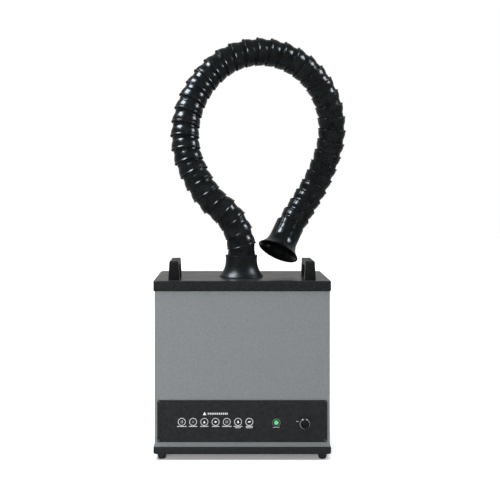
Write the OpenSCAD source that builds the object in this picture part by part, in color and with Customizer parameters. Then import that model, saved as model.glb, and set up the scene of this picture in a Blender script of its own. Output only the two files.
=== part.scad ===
// Solder fume extractor: a filter cabinet with a self-holding extraction arm on its lid.
// Millimetres, +Z up, the front faces -Y, the origin is on the floor under the cabinet's middle.

/* [Cabinet] */
// Outside width of the steel sleeve
case_w = 424; // [400:1:450]
// Outside depth of the steel sleeve
case_d = 234; // [224:1:260]
// Height of the sleeve that shows between base and lid
case_h = 375; // [365:1:410]
// Thickness of the steel sheet
sheet = 1.5; // [1:0.1:2]
// Outside radius of the sleeve's upright bends
bend_r = 4; // [3:0.5:8]

/* [Base and feet] */
// Height of the base tray
base_h = 18; // [14:1:26]
// How far base and lid stand out past the sleeve
ledge = 3; // [2.5:0.5:6]
// Thickness of the tray's floor
base_floor = 3; // [2:0.5:5]
// Width of the tray's rim inside the sleeve's outer face
base_rim = 6; // [4:0.5:10]
// Softening of the tray's edges
base_edge = 4; // [2:0.5:6]
// Radius of the upright corners of base and lid
cap_r = 8; // [6:0.5:14]
// Height of a rubber foot
foot_h = 14; // [10:1:20]
// Radius of a foot where it meets the base
foot_r = 11; // [9:0.5:14]
// Radius of a foot on the floor
foot_tip_r = 9; // [6:0.5:9]
// Distance of a foot's axis from the sides of the base
foot_inset = 20; // [18:1:40]

/* [Lid] */
// Height of the lid's skirt
lid_h = 25; // [20:1:36]
// Thickness of the lid's top
lid_plate = 4; // [3:0.5:6]
// Softening of the lid's edges
lid_edge = 2; // [1:0.5:4]
// Clearance between the lid's skirt and the sleeve
lid_gap = 0.4; // [0.2:0.1:1]
// Height of the foam seal under the lid
seal_h = 14; // [8:1:20]
// Width of the foam seal
seal_w = 12; // [8:1:18]

/* [Handles] */
// Length of a handle, front to back
handle_len = 104; // [96:1:108]
// Width of a handle where it stands on the lid
handle_w = 27; // [23:1:30]
// Width of a handle's sides where its top bevel begins
handle_top_w = 22.4; // [16:0.2:23]
// Height of a handle above the lid
handle_h = 46; // [38:1:52]
// Thickness of the grip bar
handle_bar = 13; // [10:1:18]
// Length of each leg along the handle
handle_leg = 17; // [14:1:22]
// Bevel along the handle's edges
handle_bevel = 2; // [1:0.5:4]
// Distance from the lid's front edge to the handles
handle_front = 25; // [15:1:30]
// Distance from the lid's side edge to a handle's middle
handle_inset = 48.5; // [36:0.5:54]

/* [Control panel] */
// Distance from the case's side to the control panel
panel_side = 7; // [5:0.5:20]
// Height of the control panel
panel_h = 101; // [80:1:110]
// Thickness of the control panel
panel_t = 2; // [1.5:0.1:2.8]
// Corner radius of the control panel
panel_r = 5; // [3:0.5:10]
// Height of the panel's lower edge above the sleeve's lower edge
panel_lift = 11.5; // [6:0.5:24]
// Height of the button above the panel's lower edge
controls_up = 47.5; // [40:0.5:60]
// How far the knob sits below the button
knob_drop = 2.5; // [0:0.5:5]
// Distance from the case's right side to the power button
switch_side = 130; // [112:1:142]
// Distance from the case's right side to the speed knob
knob_side = 61.5; // [47:0.5:82]
// Radius of the button's bezel
bezel_r = 9.4; // [9:0.1:12]
// How far the bezel stands out
bezel_t = 1.6; // [1:0.1:3]
// Radius of the switch's barrel
barrel_r = 8; // [7.5:0.1:8.5]
// Radius of the button
button_r = 5.7; // [4.5:0.1:6.5]
// Travel of the button
button_travel = 2.5; // [1.5:0.1:3]
// Radius of the knob's skirt
knob_r = 12.5; // [11:0.1:16]
// Radius of the knob's grip
grip_r = 10.3; // [8:0.1:11]
// Length of the knob
knob_len = 15; // [12:0.5:20]
// Number of flutes round the grip
flutes = 18; // [8:1:24]
// Radius of the speed control's spindle
spindle_r = 3; // [2.5:0.1:3.2]
// Radius of the speed control's threaded bush
bush_r = 4.5; // [4.2:0.1:6]
// Distance from the sleeve's front wall to the circuit board
board_stand = 11; // [9:0.5:16]

/* [Rear] */
// Distance from the case's side to the mains inlet
inlet_side = 72; // [52:1:102]
// Height of the mains inlet above the base tray
inlet_up = 40; // [30:1:60]
// Width of an exhaust slot
slot_w = 3.5; // [2.5:0.1:3.8]
// Distance between exhaust slots
slot_pitch = 7.5; // [6:0.5:12]

/* [Filters] */
// Height of the pre-filter
pre_h = 25; // [15:1:30]
// Height of the fine dust filter
hepa_h = 108; // [80:1:115]
// Height of the carbon filter
carbon_h = 90; // [70:1:100]
// Side clearance round the filters
filter_gap = 0.6; // [0.3:0.1:2]
// Width of a filter's frame
filter_frame = 14; // [10:1:20]
// Number of pleats in the fine dust filter
pleats = 26; // [12:1:40]

/* [Blower] */
// Radius of the fan wheel
wheel_r = 78; // [60:1:82]
// Number of blades
blades = 30; // [16:1:40]
// Height of the blades
blade_h = 58; // [40:1:62]
// Height of the blower's housing
scroll_h = 88; // [82:1:96]
// Thickness of the blower's housing
scroll_t = 2; // [1.5:0.5:3]
// Sideways place of the blower's axis
blower_x = -58; // [-75:1:-50]
// Radius of the motor
motor_r = 42; // [30:1:48]
// Height of the motor
motor_h = 46; // [36:1:50]
// Radius of the motor's shaft
shaft_r = 4; // [3:0.5:6]

/* [Arm] */
// Distance between two ball joints
pitch = 32.5; // [32:0.1:36]
// Radius of a ball
ball_r = 34; // [33.8:0.1:34.2]
// Gap between a ball and its socket
ball_gap = 0.35; // [0.3:0.05:0.6]
// Radius of the crown below a ball, which a lip slides over
crown_r = 33.5; // [32.8:0.1:33.6]
// Radius of a segment's lip
lip_r = 38; // [37.6:0.1:40]
// Thickness of a lip
lip_t = 1.8; // [1.2:0.1:3]
// Largest radius of a segment's barrel
barrel_max_r = 36.5; // [36.3:0.1:37]
// Radius of the way through the arm
bore_r = 30; // [26:0.5:31]
// How far a lip hangs below the middle of its ball
socket_wrap = 3; // [2.5:0.1:3.5]
// Front to back place of the arm's foot
arm_y = -10; // [-20:1:0]
// Height of the first ball joint above the lid
arm_rise = 79; // [78:0.5:90]

/* [Arm flange and hood] */
// Radius of the flange on the lid
flange_r = 55.5; // [50:0.5:62]
// Radius of the flange's collar
collar_r = 40; // [39.2:0.1:42]
// Radius of the rim round the collar's top
rim_r = 40.6; // [40.5:0.1:44]
// Height of the flange
flange_h = 54; // [48:0.5:56]
// Radius of the flange's flare
flare_r = 56; // [40:0.5:60]
// Radius of the hood's mouth
mouth_r = 55.5; // [50:0.5:60]
// Radius of the hood's collar
hood_r = 37.6; // [37.3:0.1:38.5]
// Length of the hood beyond its ball joint
hood_len = 80; // [72:0.5:86]
// Radius of the hood's flare
hood_flare_r = 52; // [40:0.5:60]
// Wall of hood and flange
bell_t = 2.4; // [1.6:0.1:3]

/* [Fits] */
// Gap between a part that turns or slides and what holds it
run_gap = 0.3; // [0.25:0.05:0.5]
// Gap round a part that passes through a hole
pass_gap = 0.3; // [0.2:0.05:0.6]

/* [Hidden] */
$fn = 96;
eps = 0.01;
sliver = 0.05;

// Levels, from the floor up
z_base = foot_h;
z_case = z_base + base_h;
z_skirt = z_case + case_h;
z_top = z_skirt + lid_h;
z_under = z_top - lid_plate;
cap_w = case_w + 2 * ledge;
cap_d = case_d + 2 * ledge;
front_y = -case_d / 2;
rear_y = case_d / 2;
in_w = case_w - 2 * sheet;
in_d = case_d - 2 * sheet;

// Filter stack, hung down from the lid
z_pre = z_under - seal_h - pre_h;
z_hepa = z_pre - hepa_h;
z_carbon = z_hepa - carbon_h;
z_deck = z_carbon - sheet;
filter_w = in_w - 2 * filter_gap;
filter_d = in_d - 2 * filter_gap;

// Panel and controls
panel_w = case_w - 2 * panel_side;
switch_x = case_w / 2 - switch_side;
knob_x = case_w / 2 - knob_side;
panel_z = z_case + panel_lift + panel_h / 2;
controls_z = z_case + panel_lift + controls_up;
knob_z = controls_z - knob_drop;
panel_y = front_y - panel_t;
wall_t = panel_t + sheet;
board_depth = wall_t + board_stand;
button_out = 1;
button_tail = 5.2;
knob_lift = 0.5;
bush_out = 1.5;
panel_screw_in = 4.2;
panel_screw_r = 1.5;
panel_head_r = 2.4;
screw_r = 2;
head_r = 3.8;
head_t = 2.2;

// Mains inlet: the body behind the wall and the plate in front of it
inlet_x = case_w / 2 - inlet_side;
inlet_body_w = 31;
inlet_body_h = 24;
inlet_plate_w = 52;
inlet_plate_h = 30;
inlet_plate_t = 3;

// Blower
blower_y = -4;
z_scroll = z_deck - scroll_h;
z_motor = z_scroll - motor_h;
eye_r = wheel_r - 22;
tongue_gap = 6;
scroll_start = wheel_r + tongue_gap;
scroll_growth = 20;
outlet_w = 52;
wheel_lift = 12;

// Arm: how far a crown reaches below its ball's middle, and how far the ball goes on above it
crown_drop = 13;
ball_top = 12;
socket_r = ball_r + ball_gap;
// A socket opens towards its lip, so that the lip can swing over the crown
skirt_low_r = 36.1;
skirt_mid_r = 35.2;
skirt_top = 5.5;
skirt_top_r = sqrt(socket_r * socket_r - skirt_top * skirt_top);

// Arm flange: a spigot snaps through the lid, and the arm's root turns in the collar on a seat
spigot_r = 34;
spigot_bore = 30;
spigot_len = 8;
snap_r = 36;
snap_h = 5;
seat_up = 20;
collar_t = 1.8;
sleeve_r = collar_r - collar_t - run_gap;

// The arm's shape as runs of [joints, turn of each], in the plane of the arch, left is positive
arch_angles = [[4, 13], [2, -10], [2, -4.2], [2, -9.4], [2, -8.2], [5, -7.7], [5, -10.4], [5, -9.6],
    [5, -8.7], [4, -4.5], [3, -1.2]];
// The same for the lean of the arm, to the rear is positive
lean_angles = [[4, 0], [4, 2.1], [25, 0], [6, -5.6]];
hood_turn_angle = 8;
hood_lean_angle = 1;
turns = [for (run = arch_angles) for (i = [1:run[0]]) run[1]];
leans = [for (run = lean_angles) for (i = [1:run[0]]) run[1]];
segments = len(turns);
// The lower segments are kept in pairs
pairs = 6;

function sum_to(list, k) = k < 1 ? 0 : list[k - 1] + sum_to(list, k - 1);
function heading(k) = k > segments ? heading(segments) + hood_turn_angle : 90 + sum_to(turns, k);
function leaning(k) = k > segments ? leaning(segments) + hood_lean_angle : sum_to(leans, k);
function way(k) = [cos(heading(k)) * cos(leaning(k)), sin(leaning(k)), sin(heading(k)) * cos(leaning(k))];
function joint_at(k) = k <= 1 ? [0, arm_y, z_top + arm_rise] : joint_at(k - 1) + pitch * way(k - 1);
function pair_name(k) = str("arm_pair_", k);
function segment_name(k) = str("arm_segment_", k);

// Shared shapes

module round_rect(w, d, r) {
    square([w - 2 * r, d], center = true);
    square([w, d - 2 * r], center = true);
    for (x = [-1, 1], y = [-1, 1]) {
        translate([x * (w / 2 - r), y * (d / 2 - r)])
            circle(r);
    }
}

// A slab with round corners and softened edges
module soft_slab(w, d, h, r, edge) {
    rings = [[edge, 0], [edge * 0.3, edge * 0.3], [0, edge]];
    hull() {
        for (ring = rings) {
            translate([0, 0, ring[1]])
                linear_extrude(h - 2 * ring[1])
                    round_rect(w - 2 * ring[0], d - 2 * ring[0], r - ring[0], $fn = 32);
        }
    }
}

// Places its children on the front panel, with their Z pointing out of it
module on_panel(x, z) {
    translate([x, panel_y, z])
        rotate([90, 0, 0])
            children();
}

// Places its children on the rear wall, with their Z pointing out of it
module on_rear(x, z) {
    translate([x, rear_y, z])
        rotate([90, 0, 180])
            children();
}

// Turns a profile of radius and height into a solid
module turned() {
    rotate_extrude()
        intersection() {
            children();
            translate([0, -1000])
                square([1000, 2000]);
        }
}

module foot_places() {
    for (x = [-1, 1], y = [-1, 1]) {
        translate([x * (cap_w / 2 - foot_inset), y * (cap_d / 2 - foot_inset), 0])
            children();
    }
}

module panel_screw_places() {
    for (x = [-1, 1], z = [-1, 1]) {
        on_panel(x * (panel_w / 2 - panel_screw_in), panel_z + z * (panel_h / 2 - panel_screw_in))
            children();
    }
}

module lid_screw_places() {
    for (side = [-1, 1], y = [-1, 1]) {
        translate([side * cap_w / 2, y * cap_d / 4, z_skirt + lid_h / 2])
            rotate([0, side * 90, 0])
                children();
    }
}

module handle_screw_places() {
    for (side = [-1, 1], end = [handle_leg / 2, handle_len - handle_leg / 2]) {
        translate([side * (cap_w / 2 - handle_inset), -cap_d / 2 + handle_front + end, z_under])
            rotate([180, 0, 0])
                children();
    }
}

// A pan head screw whose head rests on Z = 0
module screw(shank_r, top_r, top_t, len) {
    cylinder(r1 = top_r, r2 = top_r * 0.75, h = top_t);
    translate([0, 0, -len])
        cylinder(r = shank_r, h = len + eps);
}

// Cabinet

module base_tray() {
    color([0.2, 0.2, 0.21])
    difference() {
        translate([0, 0, z_base])
            soft_slab(cap_w, cap_d, base_h, cap_r, base_edge);
        translate([0, 0, z_base + base_floor])
            linear_extrude(base_h)
                round_rect(case_w - 2 * base_rim, case_d - 2 * base_rim, bend_r);
        foot_places()
            translate([0, 0, z_base - eps])
                cylinder(r = screw_r + pass_gap, h = base_h);
    }
}

module rubber_feet() {
    round_r = 2;
    color([0.12, 0.12, 0.13])
    foot_places()
        turned()
            difference() {
                polygon([[0, 0], [foot_tip_r - round_r, 0], [foot_tip_r, round_r], [foot_r, foot_h],
                         [0, foot_h]]);
                translate([0, -eps])
                    square([head_r + 1, foot_h / 2 + eps]);
                square([screw_r + pass_gap, foot_h + 1]);
            }
}

module body_shell() {
    color([0.53, 0.55, 0.56])
    difference() {
        translate([0, 0, z_case])
            linear_extrude(z_under - z_case)
                difference() {
                    round_rect(case_w, case_d, bend_r);
                    round_rect(in_w, in_d, bend_r - sheet);
                }
        on_panel(switch_x, controls_z)
            cylinder(r = barrel_r + pass_gap, h = 3 * wall_t, center = true);
        on_panel(knob_x, knob_z)
            cylinder(r = bush_r + pass_gap, h = 3 * wall_t, center = true);
        panel_screw_places()
            cylinder(r = panel_screw_r + pass_gap, h = 3 * wall_t, center = true);
        lid_screw_places()
            cylinder(r = screw_r + pass_gap, h = 4 * (ledge + sheet), center = true);
        inlet_cut();
        exhaust_slots();
    }
}

module inlet_cut() {
    on_rear(inlet_x, z_case + inlet_up)
        translate([0, 0, -2 * sheet])
            linear_extrude(3 * sheet)
                square([inlet_body_w + 2 * pass_gap, inlet_body_h + 2 * pass_gap], center = true);
    inlet_screw_places()
        cylinder(r = panel_screw_r + pass_gap, h = 4 * sheet, center = true);
}

module exhaust_slots() {
    wide = outlet_w - 2 * scroll_t;
    tall = scroll_h - 4 * scroll_t;
    count = floor((wide - slot_w) / slot_pitch);
    for (i = [0:count]) {
        translate([outlet_x() + (i - count / 2) * slot_pitch, rear_y, z_scroll + scroll_h / 2])
            rotate([90, 0, 0])
                linear_extrude(4 * sheet, center = true)
                    round_rect(slot_w, tall, slot_w / 2 - sliver);
    }
}

module lid() {
    color([0.17, 0.18, 0.18])
    difference() {
        translate([0, 0, z_skirt])
            soft_slab(cap_w, cap_d, lid_h, cap_r, lid_edge);
        translate([0, 0, z_skirt - eps])
            linear_extrude(lid_h - lid_plate + eps)
                round_rect(case_w + 2 * lid_gap, case_d + 2 * lid_gap, bend_r + lid_gap);
        translate([0, arm_y, z_under - 1])
            cylinder(r = spigot_r + pass_gap, h = lid_plate + 2);
        lid_screw_places()
            cylinder(r = screw_r + pass_gap, h = 4 * ledge, center = true);
        handle_screw_places()
            cylinder(r = screw_r + pass_gap, h = 4 * lid_plate, center = true);
    }
}

module lid_seal() {
    color([0.1, 0.1, 0.1])
    translate([0, 0, z_under - seal_h])
        linear_extrude(seal_h)
            difference() {
                round_rect(filter_w, filter_d, bend_r);
                round_rect(filter_w - 2 * seal_w, filter_d - 2 * seal_w, bend_r);
            }
}

// A bow handle: two legs and a grip bar, drawn from the side, with sides that lean in to the top
module handle(side) {
    gap_r = 8;
    top_r = 6;
    gap_len = handle_len - 2 * handle_leg;
    gap_h = handle_h - handle_bar;
    difference() {
        translate([side * (cap_w / 2 - handle_inset), -cap_d / 2 + handle_front, z_top])
            intersection() {
                rotate([90, 0, 90])
                    translate([0, 0, -handle_w / 2])
                        linear_extrude(handle_w)
                            difference() {
                                handle_side(handle_len, handle_h, top_r);
                                translate([handle_len / 2, (gap_h - gap_r) / 2])
                                    round_rect(gap_len, gap_h + gap_r, gap_r);
                            }
                translate([0, handle_len + 1, 0])
                    rotate([90, 0, 0])
                        linear_extrude(handle_len + 2)
                            handle_end();
            }
        handle_screw_places()
            translate([0, 0, -lid_plate - handle_bar])
                cylinder(r = screw_r + pass_gap, h = handle_bar + eps);
    }
}

module handle_side(len, h, r) {
    translate([r, 0])
        square([len - 2 * r, h]);
    square([len, h - r]);
    for (x = [r, len - r]) {
        translate([x, h - r])
            circle(r);
    }
}

// The handle seen from its end
module handle_end() {
    half = handle_w / 2;
    top_half = handle_top_w / 2;
    polygon([[-half, -1], [half, -1], [half, 0], [top_half, handle_h - handle_bevel],
             [top_half - handle_bevel, handle_h], [handle_bevel - top_half, handle_h],
             [-top_half, handle_h - handle_bevel], [-half, 0]]);
}

module handle_left() {
    color([0.13, 0.14, 0.14])
        handle(-1);
}

module handle_right() {
    color([0.13, 0.14, 0.14])
        handle(1);
}

module case_screws() {
    color([0.25, 0.25, 0.26]) {
        panel_screw_places()
            screw(panel_screw_r, panel_head_r, 1.4, wall_t + 4);
        inlet_screw_places()
            translate([0, 0, inlet_plate_t])
                screw(panel_screw_r, panel_head_r, 1.4, inlet_plate_t + sheet + 4);
        lid_screw_places()
            screw(screw_r, head_r, 1.6, ledge + sheet);
        handle_screw_places()
            screw(screw_r, head_r, head_t, lid_plate + handle_bar - 3);
        foot_places()
            translate([0, 0, foot_h / 2])
                rotate([180, 0, 0])
                    screw(screw_r, head_r, head_t, foot_h / 2 + base_floor + 4);
    }
}

// Front panel and controls

module control_panel() {
    color([0.19, 0.2, 0.2])
    difference() {
        translate([0, front_y, panel_z])
            rotate([90, 0, 0])
                linear_extrude(panel_t)
                    round_rect(panel_w, panel_h, panel_r);
        on_panel(switch_x, controls_z)
            cylinder(r = barrel_r + pass_gap, h = 3 * panel_t, center = true);
        on_panel(knob_x, knob_z)
            cylinder(r = bush_r + pass_gap, h = 3 * panel_t, center = true);
        panel_screw_places()
            cylinder(r = panel_screw_r + pass_gap, h = 3 * panel_t, center = true);
    }
}

module power_switch() {
    deep = button_tail + button_travel + 0.5;
    color([0.15, 0.15, 0.16])
    on_panel(switch_x, controls_z)
        turned()
            difference() {
                polygon([[0, -board_depth], [barrel_r, -board_depth], [barrel_r, 0], [bezel_r, 0],
                         [bezel_r, bezel_t / 2], [bezel_r - 0.8, bezel_t], [0, bezel_t]]);
                translate([0, -deep])
                    square([button_r + run_gap, deep + bezel_t + 1]);
            }
}

module power_button() {
    top = bezel_t + button_out;
    color([0.15, 0.75, 0.35])
    on_panel(switch_x, controls_z)
        turned()
            polygon([[0, -button_tail], [button_r, -button_tail], [button_r, top - 1.2],
                     [button_r - 0.5, top - 0.4], [button_r - 1.6, top], [0, top]]);
}

module potentiometer() {
    pot_r = 9;
    color([0.55, 0.55, 0.5])
    on_panel(knob_x, knob_z)
        turned()
            difference() {
                union() {
                    translate([0, -board_depth])
                        square([pot_r, board_stand]);
                    translate([0, -board_depth])
                        square([bush_r, board_depth + bush_out]);
                }
                translate([0, -board_depth + 2])
                    square([spindle_r + run_gap, board_depth + bush_out]);
            }
}

module speed_spindle() {
    color([0.75, 0.76, 0.78])
    on_panel(knob_x, knob_z)
        translate([0, 0, -board_depth + 2 + run_gap])
            cylinder(r = spindle_r, h = board_depth - 2 - run_gap + knob_lift + knob_len - 3);
}

module speed_knob() {
    skirt_t = 3;
    top_t = 1.5;
    flute_r = 1.3;
    color([0.08, 0.08, 0.09])
    on_panel(knob_x, knob_z)
        translate([0, 0, knob_lift])
            difference() {
                union() {
                    cylinder(r1 = knob_r, r2 = knob_r - 0.8, h = skirt_t);
                    linear_extrude(knob_len - top_t)
                        difference() {
                            circle(grip_r);
                            for (i = [0:flutes - 1]) {
                                rotate((i + 0.5) * 360 / flutes)
                                    translate([grip_r + flute_r / 2, 0])
                                        circle(flute_r, $fn = 24);
                            }
                        }
                    translate([0, 0, knob_len - top_t])
                        cylinder(r1 = grip_r - flute_r, r2 = grip_r - 2 * flute_r, h = top_t);
                }
                translate([0, 0, -eps])
                    cylinder(r = spindle_r + sliver, h = knob_len - 3 + sliver);
                translate([0, 0, -eps])
                    cylinder(r = bush_r + 2 * run_gap, h = bush_out - knob_lift + run_gap + eps);
            }
}

module control_board() {
    board_t = 1.6;
    board_w = knob_x - switch_x + 44;
    board_h = 52;
    middle = (knob_x + switch_x) / 2;
    post_r = 3;
    post_in = 5;
    // Capacitors as [x, y, radius, height], transformer and terminals as [x, y, width, depth, height]
    cans = [[-30, 8, 8, 22], [-10, 8, 6, 18]];
    blocks = [[6, -16, 20, 16, 16], [-44, -20, 30, 10, 12]];
    color([0.1, 0.35, 0.2])
    on_panel(middle, controls_z)
        translate([0, 0, -board_depth - board_t]) {
            linear_extrude(board_t)
                round_rect(board_w, board_h, 2);
            for (x = [-1, 1], y = [-1, 1]) {
                translate([x * (board_w / 2 - post_in), y * (board_h / 2 - post_in), 0])
                    cylinder(r = post_r, h = board_t + board_stand, $fn = 24);
            }
            for (can = cans) {
                translate([can[0], can[1], -can[3]])
                    cylinder(r = can[2], h = can[3], $fn = 32);
            }
            for (block = blocks) {
                translate([block[0], block[1], -block[4]])
                    cube([block[2], block[3], block[4]]);
            }
        }
}

// Rear

module inlet_screw_places() {
    for (x = [-1, 1]) {
        on_rear(inlet_x + x * (inlet_plate_w / 2 - 5), z_case + inlet_up)
            children();
    }
}

// The mouth of a three pin appliance inlet, with two corners cut off
module inlet_mouth() {
    mouth_w = 24.4;
    mouth_h = 16.6;
    cut = 4.5;
    difference() {
        square([mouth_w, mouth_h], center = true);
        for (x = [-1, 1]) {
            translate([x * mouth_w / 2, mouth_h / 2])
                rotate(45)
                    square(cut * sqrt(2), center = true);
        }
    }
}

module mains_inlet() {
    depth = 22;
    recess = 15;
    pin_len = 11;
    color([0.1, 0.1, 0.11])
    difference() {
        on_rear(inlet_x, z_case + inlet_up) {
            difference() {
                union() {
                    linear_extrude(inlet_plate_t)
                        round_rect(inlet_plate_w, inlet_plate_h, 4);
                    translate([0, 0, -depth])
                        linear_extrude(depth + eps)
                            square([inlet_body_w, inlet_body_h], center = true);
                }
                translate([0, 0, inlet_plate_t - recess])
                    linear_extrude(recess + 1)
                        inlet_mouth();
            }
            for (place = [[-7, -2], [0, 2.5], [7, -2]]) {
                translate([place[0] - 1, place[1] - 2, -recess])
                    cube([2, 4, pin_len]);
            }
        }
        inlet_screw_places()
            cylinder(r = panel_screw_r + pass_gap, h = 4 * inlet_plate_t, center = true);
    }
}

// Filters

module filter_case(h, frame) {
    linear_extrude(h)
        difference() {
            round_rect(filter_w, filter_d, bend_r);
            square([filter_w - 2 * frame, filter_d - 2 * frame], center = true);
        }
}

module pre_filter() {
    color([0.85, 0.86, 0.84])
    translate([0, 0, z_pre]) {
        filter_case(pre_h, filter_frame);
        translate([0, 0, pre_h / 4])
            linear_extrude(pre_h / 2)
                square([filter_w - 2 * filter_frame + eps, filter_d - 2 * filter_frame + eps],
                       center = true);
    }
}

// A folded paper pack, drawn from the front and run front to back
module hepa_filter() {
    margin = 6;
    paper = 1.2;
    wide = filter_w - 2 * filter_frame;
    fold = wide / pleats;
    low = margin;
    high = hepa_h - margin - paper;
    line = [for (i = [0:pleats], half = [0, 1]) if (i < pleats || half == 0)
        [-wide / 2 + (i + half / 2) * fold, half == 0 ? low : high]];
    back = [for (i = [len(line) - 1:-1:0]) line[i] + [0, 4 * paper]];
    color([0.92, 0.92, 0.9])
    translate([0, 0, z_hepa]) {
        filter_case(hepa_h, filter_frame);
        rotate([90, 0, 0])
            linear_extrude(filter_d - 2 * filter_frame + eps, center = true)
                polygon(concat(line, back));
    }
}

module carbon_filter() {
    plate = 2;
    cell = 22;
    wide = filter_w - 2 * filter_frame;
    deep = filter_d - 2 * filter_frame;
    columns = floor(wide / cell);
    rows = floor(deep / cell);
    color([0.16, 0.16, 0.17])
    translate([0, 0, z_carbon]) {
        filter_case(carbon_h, filter_frame);
        translate([0, 0, plate])
            linear_extrude(carbon_h - 2 * plate)
                difference() {
                    square([wide + eps, deep + eps], center = true);
                    for (i = [0:columns - 1], j = [0:rows - 1]) {
                        translate([(i - (columns - 1) / 2) * cell, (j - (rows - 1) / 2) * cell])
                            square(cell - 4, center = true);
                    }
                }
    }
}

// Blower

module fan_deck() {
    color([0.6, 0.61, 0.62])
    translate([0, 0, z_deck])
        linear_extrude(sheet)
            difference() {
                round_rect(in_w, in_d, bend_r);
                translate([blower_x, blower_y])
                    circle(eye_r);
            }
}

function scroll_radius(angle) = scroll_start + scroll_growth * angle / 360;
function outlet_x() = blower_x + scroll_radius(360) - outlet_w / 2;

// The scroll grows with the angle and ends in a straight outlet to the rear wall
module scroll_outline(shrink) {
    step = 10;
    first = 30;
    translate([blower_x, blower_y])
        polygon([for (a = [first:step:360]) (scroll_radius(a) - shrink) * [cos(a), sin(a)]]);
    translate([outlet_x() - outlet_w / 2 + shrink, blower_y])
        square([outlet_w - 2 * shrink, rear_y - sheet - blower_y + (shrink > 0 ? 1 : 0)]);
}

module blower_housing() {
    color([0.62, 0.63, 0.64])
    difference() {
        translate([0, 0, z_scroll])
            linear_extrude(scroll_h)
                scroll_outline(0);
        translate([0, 0, z_scroll + scroll_t])
            linear_extrude(scroll_h - 2 * scroll_t)
                scroll_outline(scroll_t);
        translate([blower_x, blower_y, z_deck - 2 * scroll_t])
            cylinder(r = eye_r, h = 3 * scroll_t);
        translate([blower_x, blower_y, z_scroll - 1])
            cylinder(r = 2 * shaft_r, h = scroll_t + 2);
    }
}

module fan_motor() {
    flange_t = 3;
    ribs = 16;
    color([0.35, 0.36, 0.38])
    translate([blower_x, blower_y, z_motor])
        difference() {
            union() {
                cylinder(r = motor_r - 2, h = motor_h);
                for (i = [0:ribs - 1]) {
                    rotate([0, 0, i * 360 / ribs])
                        translate([0, -1.5, 4])
                            cube([motor_r, 3, motor_h - 8]);
                }
                translate([0, 0, motor_h - flange_t])
                    cylinder(r = motor_r + 6, h = flange_t);
            }
            translate([0, 0, 4])
                cylinder(r = shaft_r + run_gap, h = motor_h);
        }
}

module motor_shaft() {
    color([0.8, 0.8, 0.82])
    translate([blower_x, blower_y, z_motor + 4 + run_gap])
        cylinder(r = shaft_r, h = z_scroll + wheel_lift + 32 - z_motor - 4 - run_gap);
}

// A drum wheel: back plate, hub, curved blades and a ring that ties their ends
module impeller() {
    plate_t = 2;
    hub_r = 15;
    hub_h = 30;
    blade_t = 1.4;
    inner_r = eye_r + 2;
    arc_r = (wheel_r - inner_r) * 1.1;
    color([0.2, 0.2, 0.22])
    translate([blower_x, blower_y, z_scroll + wheel_lift]) {
        difference() {
            union() {
                cylinder(r = wheel_r, h = plate_t);
                cylinder(r = hub_r, h = hub_h);
            }
            translate([0, 0, -eps])
                cylinder(r = shaft_r + sliver, h = hub_h + 1);
        }
        linear_extrude(blade_h)
            intersection() {
                difference() {
                    circle(wheel_r - 0.5);
                    circle(inner_r);
                }
                for (i = [0:blades - 1]) {
                    rotate(i * 360 / blades)
                        blade(inner_r, arc_r, blade_t);
                }
            }
        translate([0, 0, blade_h - plate_t])
            linear_extrude(plate_t)
                difference() {
                    circle(wheel_r);
                    circle(wheel_r - 6);
                }
    }
}

// A blade's curved section, from the wheel's eye out to its rim
module blade(inner_r, arc_r, blade_t) {
    translate([inner_r, arc_r])
        intersection() {
            difference() {
                circle(arc_r);
                circle(arc_r - blade_t);
            }
            translate([-sliver, -arc_r - 1])
                square([arc_r + 2, arc_r + 1]);
        }
}

// Arm

// A bell's outside: a collar that flares out, with the flare's arc cut from a block
module flared(collar, wide, arc, low, high) {
    square([collar, high]);
    difference() {
        square([wide, low + sqrt(arc * arc - pow(collar + arc - wide, 2))]);
        translate([collar + arc, low + sqrt(arc * arc - pow(collar + arc - wide, 2))])
            circle(arc);
    }
}

module arm_flange() {
    foot_t = 2;
    rim_t = 4.5;
    color([0.07, 0.07, 0.08])
    translate([0, arm_y, z_top])
        turned()
            difference() {
                union() {
                    flared(collar_r, flange_r, flare_r, foot_t, flange_h);
                    translate([0, flange_h - rim_t])
                        square([rim_r, rim_t]);
                    translate([0, -lid_plate - spigot_len])
                        square([spigot_r, lid_plate + spigot_len + 1]);
                    translate([0, -lid_plate - snap_h])
                        square([snap_r, snap_h]);
                }
                translate([0, -lid_plate - spigot_len - 1])
                    square([spigot_bore, flange_h + lid_plate + spigot_len + 2]);
                translate([0, seat_up])
                    square([sleeve_r + run_gap, flange_h]);
            }
}

// The ball at a piece's far end, on the straight crown that shows below the next lip
module ball_profile(middle) {
    translate([0, middle - crown_drop])
        square([crown_r, crown_drop]);
    translate([0, middle])
        intersection() {
            circle(ball_r);
            square([crown_r, ball_top]);
        }
}

// The barrel between a lip and the crown: straight over the lip, then drawn in along an arc
module barrel_profile(low, high) {
    wide = barrel_max_r - crown_r;
    arc = (high * high + wide * wide) / (2 * wide);
    translate([0, low])
        square([barrel_max_r, -low]);
    intersection() {
        translate([barrel_max_r - arc, 0])
            circle(arc);
        square([barrel_max_r, high]);
    }
}

// The hollow that takes the ball of the piece before
module socket_profile() {
    low = -2 * socket_wrap;
    low_r = skirt_mid_r + (skirt_low_r - skirt_mid_r) * low / -socket_wrap;
    polygon([[0, low], [low_r, low], [skirt_mid_r, 0], [skirt_top_r, skirt_top], [0, skirt_top]]);
    intersection() {
        circle(socket_r);
        translate([0, skirt_top - eps])
            square([socket_r, socket_r]);
    }
}

module segment_solid() {
    turned()
        difference() {
            union() {
                translate([0, -socket_wrap])
                    square([lip_r, lip_t]);
                barrel_profile(-socket_wrap, pitch - crown_drop);
                ball_profile(pitch);
            }
            socket_profile();
            translate([0, -2 * pitch])
                square([bore_r, 4 * pitch]);
        }
}

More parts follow.
